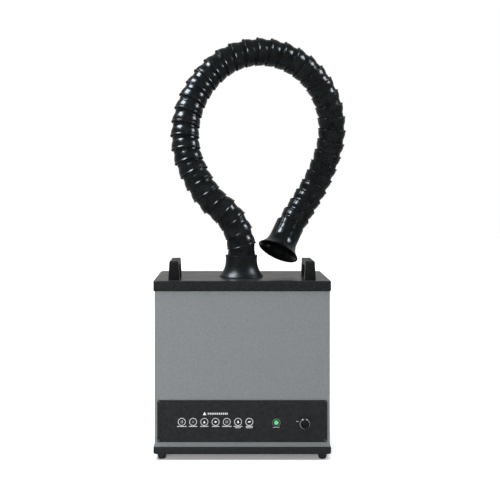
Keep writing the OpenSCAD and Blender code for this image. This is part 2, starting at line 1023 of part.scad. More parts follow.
// Places its children at a ball joint, with their Z along the piece that follows it
module at_joint(k) {
    translate(joint_at(k))
        rotate([-leaning(k), 90 - heading(k), 0])
            children();
}

module arm_segment(k) {
    color([0.06, 0.06, 0.07])
        at_joint(k)
            segment_solid();
}

module arm_pair(k) {
    arm_segment(2 * k - 1);
    arm_segment(2 * k);
}

// The piece that turns in the flange's collar and carries the first ball
module arm_root() {
    wall = 3;
    inset = 1;
    neck_r = 35.2;
    neck_run = 12;
    top = flange_h - inset - arm_rise;
    low = seat_up + run_gap - arm_rise;
    color([0.06, 0.06, 0.07])
    translate([0, arm_y, z_top + arm_rise])
        turned()
            difference() {
                union() {
                    translate([0, low])
                        square([sleeve_r, top - low]);
                    polygon([[0, top - eps], [neck_r, top - eps], [crown_r, -crown_drop], [0, -crown_drop]]);
                    ball_profile(0);
                }
                translate([0, low - 1])
                    square([bore_r, 2 * arm_rise]);
                polygon([[0, low - 1], [sleeve_r - wall, low - 1], [sleeve_r - wall, top - neck_run],
                         [bore_r, top], [0, top]]);
            }
}

module hood() {
    collar_top = hood_len - sqrt(pow(hood_flare_r, 2) - pow(hood_r + hood_flare_r - mouth_r, 2));
    inner_r = hood_r - bell_t;
    throat = sqrt(socket_r * socket_r - bore_r * bore_r);
    color([0.06, 0.06, 0.07])
    at_joint(segments + 1)
        turned()
            difference() {
                union() {
                    translate([0, -socket_wrap])
                        square([hood_r, socket_wrap + collar_top + eps]);
                    translate([0, collar_top])
                        difference() {
                            square([mouth_r, hood_len - collar_top]);
                            translate([hood_r + hood_flare_r, 0])
                                circle(hood_flare_r);
                        }
                }
                socket_profile();
                translate([0, -socket_wrap - 1])
                    square([bore_r, hood_len]);
                polygon([[0, throat], [bore_r, throat + 2], [inner_r, collar_top], [0, collar_top]]);
                translate([0, collar_top - eps])
                    difference() {
                        square([mouth_r, hood_len]);
                        translate([hood_r + hood_flare_r, 0])
                            circle(hood_flare_r + bell_t);
                    }
            }
}

base_tray();
rubber_feet();
body_shell();
lid();
lid_seal();
handle_left();
handle_right();
case_screws();
control_panel();
power_switch();
power_button();
potentiometer();
speed_spindle();
speed_knob();
control_board();
mains_inlet();
pre_filter();
hepa_filter();
carbon_filter();
fan_deck();
blower_housing();
fan_motor();
motor_shaft();
impeller();
arm_flange();
arm_root();
for (k = [1:pairs]) {
    arm_pair(k);
}
for (k = [2 * pairs + 1:segments]) {
    arm_segment(k);
}
hood();
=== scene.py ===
import bpy
import numpy as np
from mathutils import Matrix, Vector


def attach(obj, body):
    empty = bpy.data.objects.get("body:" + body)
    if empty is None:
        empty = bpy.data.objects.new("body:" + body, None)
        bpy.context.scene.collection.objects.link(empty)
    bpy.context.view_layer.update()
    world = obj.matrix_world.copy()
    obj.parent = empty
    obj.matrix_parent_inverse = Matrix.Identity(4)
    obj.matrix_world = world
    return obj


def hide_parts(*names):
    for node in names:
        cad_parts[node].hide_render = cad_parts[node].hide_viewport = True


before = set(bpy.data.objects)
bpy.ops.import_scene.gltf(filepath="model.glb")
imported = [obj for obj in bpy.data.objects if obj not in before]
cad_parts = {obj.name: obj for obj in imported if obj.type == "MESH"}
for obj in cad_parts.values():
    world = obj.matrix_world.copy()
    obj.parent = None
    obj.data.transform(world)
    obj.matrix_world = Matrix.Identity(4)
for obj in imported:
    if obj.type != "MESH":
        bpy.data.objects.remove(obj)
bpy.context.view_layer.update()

# Studio: a level camera in front of the machine, a little to its left, over a pale floor that glows
# faintly. A broad light hangs overhead, a lamp fills the front, and a soft box inside a wider scrim
# on each side puts bright patches on every barrel. Gloss sees a dark room that is paler behind.
scene = bpy.context.scene
scene.view_settings.view_transform = "Standard"

lens = bpy.data.cameras.new("studio_camera")
lens.lens = 57.58
lens.sensor_width = 36.0
lens.shift_x = 0.0478
lens.shift_y = -0.1238
camera = bpy.data.objects.new("studio_camera", lens)
camera.location = (-0.039, -2.046, 0.656)
camera.rotation_euler = (np.pi / 2, 0.0, 0.0)
scene.collection.objects.link(camera)
scene.camera = camera

room = bpy.data.worlds.new("studio_room")
scene.world = room
room.use_nodes = True
air = room.node_tree
ray_kind = air.nodes.new("ShaderNodeLightPath")
white, warm_white = (1.0, 1.0, 1.0), (1.0, 0.99, 0.97)
cloth_glow, rear_glow, air_glow, paper_glow = 0.07, 0.36, 0.32, 1.0


def set_sockets(node, values):
    """Gives the sockets of a node their values, by the sockets' names, and gives the node back."""
    for socket, value in values.items():
        node.inputs[socket].default_value = value
    return node


def wall(tint, strength):
    """An even glow from all sides, of one tint and strength."""
    glow = air.nodes.new("ShaderNodeBackground")
    return set_sockets(glow, {"Color": (*tint, 1.0), "Strength": strength})


def shown_to(kind, seen, others):
    """A room that shows one wall to a kind of ray, and another wall to all the others."""
    either = air.nodes.new("ShaderNodeMixShader")
    air.links.new(ray_kind.outputs[kind], either.inputs["Fac"])
    air.links.new(others.outputs[0], either.inputs[1])
    air.links.new(seen.outputs[0], either.inputs[2])
    return either


black_cloth = wall(warm_white, cloth_glow)
soft_air = wall(white, air_glow)
white_paper = wall(white, paper_glow)
dark_in_gloss = shown_to("Is Glossy Ray", black_cloth, soft_air)
whole_room = shown_to("Is Camera Ray", white_paper, dark_in_gloss)
air.links.new(whole_room.outputs["Shader"], air.nodes["World Output"].inputs["Surface"])

backwards = air.nodes.new("ShaderNodeSeparateXYZ")
air.links.new(air.nodes.new("ShaderNodeTexCoord").outputs["Generated"], backwards.inputs["Vector"])
paler_behind = set_sockets(air.nodes.new("ShaderNodeMapRange"), {
    "From Min": 0.2, "From Max": 0.9, "To Min": cloth_glow, "To Max": rear_glow})
air.links.new(backwards.outputs["Y"], paler_behind.inputs["Value"])
air.links.new(paler_behind.outputs["Result"], black_cloth.inputs["Strength"])


def studio_light(name, kind, place, aim, power, tint):
    """A light at place whose beam runs along the line from place to aim."""
    lamp = bpy.data.lights.new(name, kind)
    lamp.energy = power
    lamp.color = tint
    stand = bpy.data.objects.new(name, lamp)
    stand.location = place
    stand.rotation_euler = (Vector(aim) - Vector(place)).to_track_quat("-Z", "Y").to_euler()
    scene.collection.objects.link(stand)
    return stand


def soft_box(name, place, aim, wide, tall, power, tint):
    """A studio light with a flat bright front, wide by tall."""
    stand = studio_light(name, "AREA", place, aim, power, tint)
    stand.data.shape = "RECTANGLE"
    stand.data.size, stand.data.size_y = wide, tall
    return stand


floor_middle, arm_middle, front_low = (0.0, 0.0, 0.0), (0.04, 0.03, 0.75), (-0.05, 0.0, 0.2)
box_tint, scrim_tint = (0.84, 0.92, 1.0), (0.7, 0.86, 1.0)
overhead = studio_light("overhead", "SUN", (-0.2, 0.3, 3.0), floor_middle, 3.1, white)
overhead.data.angle = np.radians(50.0)
soft_box("left_box", (-1.2, -0.39, 2.29), arm_middle, 1.05, 0.62, 38.0, box_tint)
soft_box("left_scrim", (-1.22, -0.4, 2.31), arm_middle, 2.2, 1.1, 9.0, scrim_tint)
soft_box("right_box", (1.72, -0.34, 1.68), arm_middle, 0.75, 0.5, 12.5, box_tint)
soft_box("right_scrim", (1.74, -0.35, 1.7), arm_middle, 1.5, 0.95, 5.0, scrim_tint)
front_fill = soft_box("front_fill", (-0.75, -1.65, 0.5), front_low, 0.8, 0.6, 11.5, white)

far = 9.0  # metres from the floor's middle to each of its sides
floor_corners = [(-far, -far, 0.0), (far, -far, 0.0), (far, far, 0.0), (-far, far, 0.0)]
floor_mesh = bpy.data.meshes.new("floor")
floor_mesh.from_pydata(floor_corners, [], [(0, 1, 2, 3)])
floor = bpy.data.objects.new("floor", floor_mesh)
scene.collection.objects.link(floor)
for unseen_in_gloss in (overhead, front_fill, floor):
    unseen_in_gloss.visible_glossy = False


def blank_finish(name):
    """A new material: gives it, its shader and the Object coordinates to build on."""
    material = bpy.data.materials.new(name)
    material.use_nodes = True
    tree = material.node_tree
    place = tree.nodes.new("ShaderNodeTexCoord").outputs["Object"]
    return material, tree.nodes["Principled BSDF"], place


def pattern(place, kind, values):
    """A texture or mapping node that reads place, with its sockets set."""
    tree = place.id_data
    node = set_sockets(tree.nodes.new("ShaderNode" + kind), values)
    tree.links.new(place, node.inputs["Vector"])
    return node


def grain(place, per_metre, detail=2.0, rough=0.5):
    """A field of soft random lumps, per_metre of them in a metre, with detail finer octaves."""
    sockets = {"Scale": per_metre, "Detail": detail, "Roughness": rough}
    return pattern(place, "TexNoise", sockets).outputs["Fac"]


def paint(shader, field, *stops):
    """Colours the surface along a field, from stops of (value of the field, colour)."""
    tree = shader.id_data
    ramp = tree.nodes.new("ShaderNodeValToRGB")
    for i, (at, colour) in enumerate(stops):
        stop = ramp.color_ramp.elements[i] if i < 2 else ramp.color_ramp.elements.new(at)
        stop.position = at
        stop.color = (*colour, 1.0)
    tree.links.new(field, ramp.inputs["Fac"])
    tree.links.new(ramp.outputs["Color"], shader.inputs["Base Color"])
    return ramp.outputs["Color"]


floor_paper, shader, place = blank_finish("floor_paper")
paint(shader, grain(place, 30, 4), (0.3, (0.9, 0.9, 0.9)), (0.7, (0.93, 0.93, 0.93)))
set_sockets(shader, {"Roughness": 0.9, "Specular IOR Level": 0.1, "Emission Color": (*white, 1.0),
                     "Emission Strength": 0.18})
floor_mesh.materials.append(floor_paper)

# Base tray: a shallow tray of black moulded plastic with fine spark-eroded grain and well rounded
# outer edges. The sheet metal sleeve stands on its rim, inside a narrow ledge.
millimetre = 0.001


def sheet(grid, ring):
    """Points and faces of a grid of rows x columns x 3 whose columns close on themselves, where
    four neighbouring points make a face. A ring's rows close too; otherwise the first and last rows
    are each filled by a fan round their mean. The faces are turned outwards by the sign of the
    volume that they enclose, which is the sum of a . (b x c) over their triangles."""
    rows, cols = grid.shape[:2]
    points = grid.reshape(-1, 3)
    row, col = np.arange(rows if ring else rows - 1)[:, None], np.arange(cols)[None, :]
    here, above, on = row * cols, (row + 1) % rows * cols, (col + 1) % cols
    quads = np.stack([here + col, here + on, above + on, above + col], -1).reshape(-1, 4)
    fans = np.empty((0, 3), int)
    if not ring:
        points = np.concatenate([points, [grid[0].mean(0), grid[-1].mean(0)]])
        one, two = np.arange(cols), (np.arange(cols) + 1) % cols
        last, hub = (rows - 1) * cols, np.full(cols, rows * cols)
        fans = np.concatenate([np.stack([two, one, hub], -1),
                               np.stack([last + one, last + two, hub + 1], -1)])
    thirds = np.concatenate([quads[:, [0, 1, 2]], quads[:, [0, 2, 3]], fans])
    a, b, c = (points[thirds[:, i]] for i in range(3))
    if np.einsum("ij,ij->i", a, np.cross(b, c)).sum() < 0:
        quads, fans = quads[:, ::-1], fans[:, ::-1]
    return points, quads, fans


def skin(name, sheets, body, material, nodes=(), crease=38.0):
    """One mesh out of sheets, each a (grid, ring) in millimetres. Edges sharper than crease degrees
    stay sharp. The piece rides on its body and stands for the nodes given."""
    points, faces, first = [], [], 0
    for grid, ring in sheets:
        corners, quads, fans = sheet(grid, ring)
        points.append(corners)
        faces += (quads + first).tolist() + (fans + first).tolist()
        first += len(corners)
    mesh = bpy.data.meshes.new(name)
    mesh.from_pydata(np.concatenate(points) * millimetre, [], faces)
    mesh.polygons.foreach_set("use_smooth", np.ones(len(mesh.polygons), bool))
    mesh.set_sharp_from_angle(angle=np.radians(crease))
    mesh.materials.append(material)
    piece = bpy.data.objects.new(name, mesh)
    scene.collection.objects.link(piece)
    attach(piece, body)
    if nodes:
        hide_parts(*nodes)


def round_rows(wide, deep, corner, height, turn=9):
    """Rows round rectangles with round corners, one row for each width, depth, corner radius and
    height given: four quarter circles set in by the corner radius, joined by straight sides."""
    sizes = (np.asarray(size, float)[..., None, None] for size in (wide, deep, corner, height))
    wide, deep, corner, height = np.broadcast_arrays(*sizes)
    quarter = np.arange(4)[:, None] * np.pi / 2
    angle = quarter + np.linspace(0, np.pi / 2, turn)
    side_x, side_y = np.sign(np.cos(quarter + np.pi / 4)), np.sign(np.sin(quarter + np.pi / 4))
    x = side_x * (wide / 2 - corner) + corner * np.cos(angle)
    y = side_y * (deep / 2 - corner) + corner * np.sin(angle)
    return np.stack([x, y, height + 0 * x], -1).reshape(len(wide), -1, 3)


def set_in(wide, deep, corner, inset, height, least):
    """Rows round a round-cornered box, set in from its sides by inset at each height. The corners
    shrink by the inset too, but not below least."""
    return round_rows(wide - 2 * inset, deep - 2 * inset, np.maximum(corner - inset, least), height)


def arc(across, along, radius, start, end, steps):
    """Points of radius round the middle (across, along), from one angle to another in degrees."""
    angle = np.radians(np.linspace(start, end, steps))
    return np.stack([across + radius * np.cos(angle), along + radius * np.sin(angle)], -1)


def rounded_side(low, top, radius, steps):
    """Inset and height of points up an outer side, whose two edges are quarter circles."""
    edge = arc(0, 0, radius, -90, 0, steps)
    inset = np.concatenate([radius - edge[:, 0], radius - edge[::-1, 0]])
    return inset, np.concatenate([low + radius + edge[:, 1], top - radius - edge[::-1, 1]])


def polish(shader, field, low, high):
    """Roughness that runs from low to high where a field takes its usual run of 0.3 to 0.7."""
    tree = shader.id_data
    span = set_sockets(tree.nodes.new("ShaderNodeMapRange"), {
        "From Min": 0.3, "From Max": 0.7, "To Min": low, "To Max": high})
    tree.links.new(field, span.inputs["Value"])
    tree.links.new(span.outputs["Result"], shader.inputs["Roughness"])


def dents(shader, field, strength, depth):
    """Lets a field raise and sink the surface by depth metres, for the light alone."""
    tree = shader.id_data
    bump = set_sockets(tree.nodes.new("ShaderNodeBump"), {"Strength": strength, "Distance": depth})
    tree.links.new(field, bump.inputs["Height"])
    tree.links.new(bump.outputs["Normal"], shader.inputs["Normal"])


def moulded_finish(name, dark, light, rough, per_metre=1500, strength=0.35, gloss=0.2, bloom=0.0):
    """Spark-eroded plastic: many octaves of mottle in the colour, a fine even grain in the surface,
    and broad patches that are rubbed a little smoother. Bloom is the grey veil of a dull surface
    that is seen along its length."""
    material, shader, place = blank_finish(name)
    mottle, rubbed = grain(place, 190, 6, 0.85), grain(place, 18, 3)
    paint(shader, mottle, (0.32, dark), (0.68, light))
    polish(shader, rubbed, *rough)
    set_sockets(shader, {"Specular IOR Level": gloss, "Sheen Weight": bloom,
                         "Sheen Roughness": 0.35})
    dents(shader, grain(place, per_metre, 2), strength, 0.0002)
    return material


black_moulding = moulded_finish("black_moulding", (0.0088, 0.0094, 0.0099),
                                (0.0244, 0.0259, 0.0271), (0.5, 0.62))
case_wide, case_deep, case_corner = 430.0, 240.0, 8.0
tray_low, tray_floor, tray_top = 14.0, 17.0, 32.0  # heights of underside, floor and rim
tray_round, tray_rim, tray_under = 4.0, 9.0, 30.0  # edge radius, rim width, first row's inset
side_in, side_up = rounded_side(tray_low, tray_top, tray_round, steps=7)
tray_in = np.concatenate([[tray_under], side_in, [tray_rim, tray_rim]])
tray_up = np.concatenate([[tray_low], side_up, [tray_top, tray_floor]])
tray_rows = set_in(case_wide, case_deep, case_corner, tray_in, tray_up, least=3.0)
skin("base_moulding", [(tray_rows, False)], "cabinet", black_moulding,
     ["base_tray"])

# Feet: four turned rubber feet with a rounded tread, each held by a screw in a recess from below.
# The rubber is dull, a little dusty, and marked with fine pits.
foot_rubber, shader, place = blank_finish("foot_rubber")
paint(shader, grain(place, 60, 8, 0.7), (0.35, (0.012, 0.012, 0.013)), (0.7, (0.03, 0.03, 0.03)))
polish(shader, grain(place, 90), 0.7, 0.88)
dents(shader, grain(place, 1100, 3), 0.5, 0.0003)


def lathe(profile, turn):
    """Rows made by turning a profile of (radius, height) points round the upright axis."""
    angle = np.linspace(0, 2 * np.pi, turn, endpoint=False)
    radius, height = profile[:, :1], profile[:, 1:]
    return np.stack([radius * np.cos(angle), radius * np.sin(angle), height + 0 * angle], -1)


def soften(corners, cut, steps=5):
    """A closed outline with its corners rounded: each becomes a parabola that leaves its two sides
    at the distance cut from the corner, or at 0.45 of the shorter side."""
    corners = np.asarray(corners, float)
    back, ahead = np.roll(corners, 1, 0) - corners, np.roll(corners, -1, 0) - corners
    back_long, ahead_long = np.linalg.norm(back, axis=1), np.linalg.norm(ahead, axis=1)
    cut = np.minimum(cut, 0.45 * np.minimum(back_long, ahead_long))[:, None]
    a = (corners + back / back_long[:, None] * cut)[:, None]
    b = (corners + ahead / ahead_long[:, None] * cut)[:, None]
    t = np.linspace(0, 1, steps)[None, :, None]
    return ((1 - t) ** 2 * a + 2 * t * (1 - t) * corners[:, None] + t ** 2 * b).reshape(-1, 2)


foot_corners = [(9.0, 0), (9.5, 3), (11.0, 9.5), (11.0, 14), (2.3, 14), (2.3, 7), (4.8, 7),
                (4.8, 0)]
foot_turned = lathe(soften(foot_corners, 1.4), 40)
foot_spots = np.array([[x, y, 0.0] for x in (-195, 195) for y in (-100, 100)])
skin("feet", [(foot_turned + spot, True) for spot in foot_spots], "cabinet", foot_rubber,
     ["rubber_feet"])

# Sleeve: one sheet of folded steel, powder coated in mid grey. The coat has a fine orange-peel
# surface and a faint speckle, and the exhaust slots are cut in its rear.
grey_coat, shader, place = blank_finish("grey_coat")
paint(shader, grain(place, 220, 6, 0.8), (0.25, (0.12, 0.125, 0.127)), (0.5, (0.154, 0.161, 0.163)),
      (0.75, (0.188, 0.197, 0.199)))
polish(shader, grain(place, 12, 4), 0.42, 0.55)
dents(shader, grain(place, 700, 3), 0.25, 0.0002)


def dress(material, *nodes):
    """Gives CAD nodes a finish: every material slot of each takes it."""
    for node in nodes:
        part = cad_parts[node]
        if not part.material_slots:
            part.data.materials.append(material)
        for slot in part.material_slots:
            slot.material = material


dress(grey_coat, "body_shell")

# Control panel: an aluminium plate under a dark textured film, with small corner radii, screwed to
# the sleeve at its corners. Its signs are printed in white ink.
panel_film = moulded_finish("panel_film", (0.0066, 0.0071, 0.0073), (0.0246, 0.0263, 0.0267),
                            (0.45, 0.58), per_metre=900, strength=0.3)
panel_wide, panel_tall, panel_depth = 410.0, 101.0, 2.0
panel_corner, panel_round, panel_border = 5.0, 0.7, 12.0  # corner, edge, last row's inset
panel_face, panel_middle = -119.0, 94.0  # how far forward the face lies, height of its middle


def on_panel(grid, x=0.0, z=panel_middle):
    """Lays a grid that was drawn flat, with its third axis outwards, on the panel's face."""
    return np.stack([grid[..., 0] + x, panel_face - grid[..., 2], grid[..., 1] + z], -1)


panel_edge = arc(0, 0, panel_round, 0, 90, 5)
panel_in = np.concatenate([[0.0], panel_round - panel_edge[:, 0], [panel_border]])
panel_out = np.concatenate([[-panel_depth], panel_edge[:, 1] - panel_round, [0.0]])
panel_rows = set_in(panel_wide, panel_tall, panel_corner, panel_in, panel_out, least=0.5)
skin("panel_plate", [(on_panel(panel_rows), False)], "cabinet", panel_film,
     ["control_panel"])

white_ink, shader, place = blank_finish("white_ink")
paint(shader, grain(place, 900, 5, 0.7), (0.3, (0.56, 0.57, 0.57)), (0.65, (0.76, 0.77, 0.77)))
polish(shader, grain(place, 300), 0.45, 0.65)
ink_low, ink_top = -0.05, 0.06  # from just under the panel's face to just over it


def printed(outline, x, z):
    """A thin flat of ink with a given outline round its own middle, laid on the panel's face."""
    outline = np.asarray(outline, float)
    rows = np.stack([np.insert(outline, 2, height, axis=1) for height in (ink_low, ink_top)])
    return on_panel(rows, x, z), False


def printed_ring(radius, line, x, z):
    """A printed circle of a given line width: a small upright square carried round it."""
    inner = radius - line
    square = np.array([[radius, ink_low], [radius, ink_top], [inner, ink_top], [inner, ink_low]])
    return on_panel(lathe(square, 48), x, z), True


def bar(wide, tall, slant=0.0):
    """The outline of a bar, with its top pushed sideways by slant."""
    x, z = wide / 2, tall / 2
    return [(-x - slant, -z), (x - slant, -z), (x + slant, z), (-x + slant, z)]


def dash_row(start, end, z, tall, count, share=0.72):
    """A row of short bars from start to end: each takes a share of its step, its gap the rest."""
    step = (end - start) / count
    return [printed(bar(share * step, tall), start + step * (i + 0.5), z) for i in range(count)]


round_about = np.linspace(0, 2 * np.pi, 28, endpoint=False)
drop_wide = np.cos(round_about) * (1 - 0.55 * np.sin(round_about))
drop = np.stack([drop_wide, 1.5 * np.sin(round_about)], -1) * [1.9, 2.1]
oval = np.stack([2.7 * np.cos(round_about), 2.3 * np.sin(round_about)], -1)
triangle = [(-4.2, -3.4), (4.2, -3.4), (0, 4.2)]
sign_x, sign_z = -145.7 + 27.1 * np.arange(7), 92.7
sign_r, sign_line, thin_line = 9.1, 0.95, 0.5
caption_half, caption_dashes = (11.6, 10.2, 10.0, 8.8, 11.4, 10.6, 8.6), (9, 8, 8, 6, 9, 9, 7)
header_z, caption_z, second_z, lamp_caption_z = 112.4, 81.8, 78.5, 79.3

# Seven rings, and a small plain shape or two in each
signs = [printed_ring(sign_r, sign_line, x, sign_z) for x in sign_x]
signs += [printed_ring(2.4, thin_line, sign_x[0], sign_z - 0.7),
          printed(bar(0.8, 2.2, 0.6), sign_x[0] + 1.5, sign_z + 2.5)]
signs += [printed(bar(4.0, 0.55, 0.6), sign_x[1], sign_z + dz) for dz in (-1.6, 1.6)]
signs += [printed(drop, sign_x[2], sign_z - 0.7), printed_ring(3.0, thin_line, sign_x[4], sign_z),
          printed(oval, sign_x[3], sign_z), printed(drop, sign_x[5], sign_z),
          printed(bar(5.6, 3.0, 1.0), sign_x[6], sign_z)]
# A line of dashes under each ring, and a second one under the last two
for x, half, count in zip(sign_x, caption_half, caption_dashes):
    signs += dash_row(x - half, x + half, caption_z, 1.7, count)
for x, half, count in zip(sign_x[5:], (6.6, 8.0), (6, 7)):
    signs += dash_row(x - half, x + half, second_z, 1.5, count)
# The header over the rings, the dashes under the button, and two strokes beside the knob
signs += [printed(triangle, -90.8, header_z)] + dash_row(-84.1, -34.3, header_z, 4.4, 11, 0.5)
signs += dash_row(73.2, 90.0, lamp_caption_z, 0.75, 6)
signs += [printed(bar(3.4, 0.8, 0.4), 131.4, 93.6), printed(bar(0.7, 2.2), 134.2, 93.2)]
skin("panel_print", signs, "cabinet", white_ink)

# Power button: a round switch clipped into the panel, with a dark bezel whose edge carries a
# painted highlight in satin grey, and a green lens that glows. The lens goes in when it is pressed.
switch_plastic = moulded_finish("switch_plastic", (0.005, 0.005, 0.0055), (0.011, 0.011, 0.0115),
                                (0.35, 0.5), per_metre=1800, strength=0.2, gloss=0.3)
lamp_at = (82.0, 91.0)
bezel_corners = [(9.0, 0), (9.0, 1.0), (8.3, 1.6), (6.4, 1.6), (6.0, 1.1), (6.0, -8.2), (8.0, -8.2),
                 (8.0, 0)]
bezel = lathe(soften(bezel_corners, 0.4), 48)
skin("switch_bezel", [(on_panel(bezel, *lamp_at), True)], "cabinet", switch_plastic,
     ["power_switch"])

# Satin grey: the knob's own bright ring, and also a painted highlight on the switch bezel's edge
satin_ring_and_edge_highlight, shader, place = blank_finish("satin_ring_and_edge_highlight")
paint(shader, grain(place, 400, 5), (0.3, (0.22, 0.222, 0.225)), (0.7, (0.36, 0.363, 0.367)))
polish(shader, grain(place, 600), 0.3, 0.42)
shader.inputs["Metallic"].default_value = 0.25
# A light grey ring round the bezel's edge: a painted highlight where its chamfer catches the light
chamfer_highlight = lathe(arc(8.95, 1.0, 0.52, 0, 345, 14), 48)
skin("bezel_edge_highlight", [(on_panel(chamfer_highlight, *lamp_at), True)], "cabinet", satin_ring_and_edge_highlight)

green_lens, shader, place = blank_finish("green_lens")
glow = paint(shader, grain(place, 260, 4, 0.6), (0.3, (0.045, 0.3, 0.1)), (0.7, (0.1, 0.46, 0.19)))
shader.id_data.links.new(glow, shader.inputs["Emission Color"])
polish(shader, grain(place, 500), 0.12, 0.25)
set_sockets(shader, {"Emission Strength": 0.5, "Coat Weight": 0.6})
lens_profile = np.array([(2.0, -5.2), (5.3, -5.2), (5.3, 1.2), (5.2, 1.6), (4.8, 2.0), (4.0, 2.32),
                         (2.8, 2.5), (1.3, 2.6)])
skin("button_lens", [(on_panel(lathe(lens_profile, 48), *lamp_at), False)], "button", green_lens,
     ["power_button"])

# Speed knob: a fluted black knob pushed on the speed control's spindle. A bright ring is let into
# its skirt, a raised pointer crosses the ring, and two white marks stand beside it.
knob_plastic = moulded_finish("knob_plastic", (0.004, 0.004, 0.0045), (0.009, 0.009, 0.0095),
                              (0.3, 0.45), per_metre=1600, strength=0.2, gloss=0.3)
knob_at, mark_turn = (150.5, 88.5), 26.0
flutes, flute_depth = 18, 0.9
knob_steps = np.array([  # radius, height and share of the flutes' depth
    (5.1, 4.0, 0), (5.1, 0.5, 0), (11.4, 0.5, 0), (12.2, 0.8, 0), (12.5, 1.4, 0), (12.3, 2.6, 0),
    (11.6, 3.4, 0), (10.5, 3.6, 0), (10.3, 4.0, 0.3), (10.25, 5.0, 1), (10.1, 9.0, 1),
    (9.9, 12.6, 1), (9.5, 13.6, 0.8), (8.8, 14.5, 0.4), (8.0, 15.0, 0), (7.2, 15.2, 0),
    (6.6, 15.05, 0), (3.0, 15.0, 0)])
knob_r, knob_up, fluted = knob_steps.T[:, :, None]
about = np.linspace(0, 2 * np.pi, 216, endpoint=False)
knob_r = knob_r - fluted * flute_depth * (0.5 + 0.5 * np.cos(flutes * about)) ** 3
knob_grid = np.stack([knob_r * np.cos(about), knob_r * np.sin(about), knob_up + 0 * about], -1)
pointer = round_rows([3.2, 3.4, 3.0, 2.4], [9.4, 9.6, 9.2, 8.6], [1.0, 1.1, 1.0, 0.8],
                     [0.7, 3.4, 4.6, 5.0], 5) + [0, 7.7, 0]
skin("knob_grip", [(on_panel(knob_grid, *knob_at), False), (on_panel(pointer, *knob_at), False)],
     "knob", knob_plastic, ["speed_knob"])
ring = lathe(arc(11.5, 3.0, 0.95, 0, 345, 16), 72)
skin("knob_ring", [(on_panel(ring, *knob_at), True)], "knob", satin_ring_and_edge_highlight)

end_mark = round_rows([1.6, 2.0, 1.8, 1.0], [3.0, 3.4, 3.2, 2.2], [0.7, 0.9, 0.8, 0.4],
                      [2.4, 3.4, 4.0, 4.3], 5) + [0, 11.3, 0]
marks = []
for turn in np.radians([-mark_turn, mark_turn]):
    c, s = np.cos(turn), np.sin(turn)
    mark = end_mark @ np.array([[c, s, 0], [-s, c, 0], [0, 0, 1]])
    marks.append((on_panel(mark, *knob_at), False))
skin("knob_marks", marks, "knob", white_ink)

# Screws: dark zinc-plated pan heads with a cross recess. They hold the panel, the inlet, the lid,
# the handles and the feet.
black_zinc, shader, place = blank_finish("black_zinc")
paint(shader, grain(place, 500, 6, 0.7), (0.3, (0.12, 0.12, 0.125)), (0.7, (0.26, 0.26, 0.27)))
polish(shader, grain(place, 800), 0.3, 0.5)
shader.inputs["Metallic"].default_value = 0.9


def screw(shank, head, tall, length, turn=48):
    """A pan-head screw along its own axis, head up from height 0: the head is a flat dome, and its
    cross recess sinks where a point lies near an arm of the cross and not far from the middle."""
    dome = np.linspace(1.0, 0.12, 12)
    stem = [(0.4 * shank, -length), (shank, -length + 0.6), (shank, 0.0), (head, 0.0)]
    head_line = np.stack([head * dome, tall * (1 - 0.75 * dome ** 4)], -1)
    rows = lathe(np.concatenate([stem, head_line]), turn)
    from_arm = np.minimum(np.abs(rows[..., 0]), np.abs(rows[..., 1]))
    from_middle = np.hypot(rows[..., 0], rows[..., 1])
    across = np.clip((0.17 * head - from_arm) / (0.06 * head), 0, 1)
    along = np.clip((0.66 * head - from_middle) / (0.1 * head), 0, 1)
    rows[len(stem):, :, 2] -= (0.55 * tall * (across * along))[len(stem):]
    return rows


def stood(grid, out, spot):
    """Turns a grid so that its axis points along out, one of the row axes, and moves it to spot."""
    out = np.asarray(out, float)
    side = np.roll(np.abs(out), 1)
    return grid @ np.stack([side, np.cross(out, side), out]) + np.asarray(spot, float)


panel_screw, inlet_screw = screw(1.5, 2.4, 1.4, 7.5), screw(1.5, 2.4, 1.4, 8.5)
lid_screw, long_screw = screw(2.0, 3.8, 1.6, 4.5), screw(2.0, 3.8, 2.2, 14.0)
panel_holes_x, panel_holes_z = (-200.8, 200.8), (47.7, 140.3)
inlet_x, inlet_z, inlet_face, inlet_ear = 140.0, 72.0, 120.0, 21.0
skirt_middle, skirt_holes_y = 419.5, (-60, 60)
handle_x, leg_middles_y, lid_under, foot_recess = 166.5, (-86.5, 0.5), 428.0, 7.0
holes = [(panel_screw, (0, -1, 0), (x, panel_face, z)) for x in panel_holes_x
         for z in panel_holes_z]
holes += [(inlet_screw, (0, 1, 0), (inlet_x + side * inlet_ear, inlet_face, inlet_z))
          for side in (-1, 1)]
holes += [(lid_screw, (side, 0, 0), (side * case_wide / 2, y, skirt_middle)) for side in (-1, 1)
          for y in skirt_holes_y]
holes += [(long_screw, (0, 0, -1), (side * handle_x, y, lid_under)) for side in (-1, 1)
          for y in leg_middles_y]
holes += [(long_screw, (0, 0, -1), (x, y, foot_recess)) for x, y, _ in foot_spots]
skin("screws", [(stood(*hole), False) for hole in holes], "cabinet", black_zinc,
     ["case_screws"])

# Lid: a black moulded cap, smoother than the tray, whose skirt hangs over the sleeve, with crisp,
# slightly rounded edges. The arm's flange snaps through its middle, and the handles stand on it.
lid_moulding = moulded_finish("lid_moulding", (0.007, 0.0076, 0.0079), (0.017, 0.0181, 0.0186),
                              (0.2, 0.27), strength=0.12, gloss=0.5, bloom=0.03)
lid_low, lid_top = 407.0, 432.0
lid_round, lid_wall, lid_border = 2.0, 2.6, 20.0  # edge radius, skirt's wall, last row's inset
side_in, side_up = rounded_side(lid_low, lid_top, lid_round, steps=6)
lid_in = np.concatenate([[lid_wall, lid_wall], side_in, [lid_border]])
lid_up = np.concatenate([[lid_under, lid_low], side_up, [lid_top]])
lid_rows = set_in(case_wide, case_deep, case_corner, lid_in, lid_up, least=2.0)
skin("lid_cap", [(lid_rows, False)], "cabinet", lid_moulding, ["lid"])

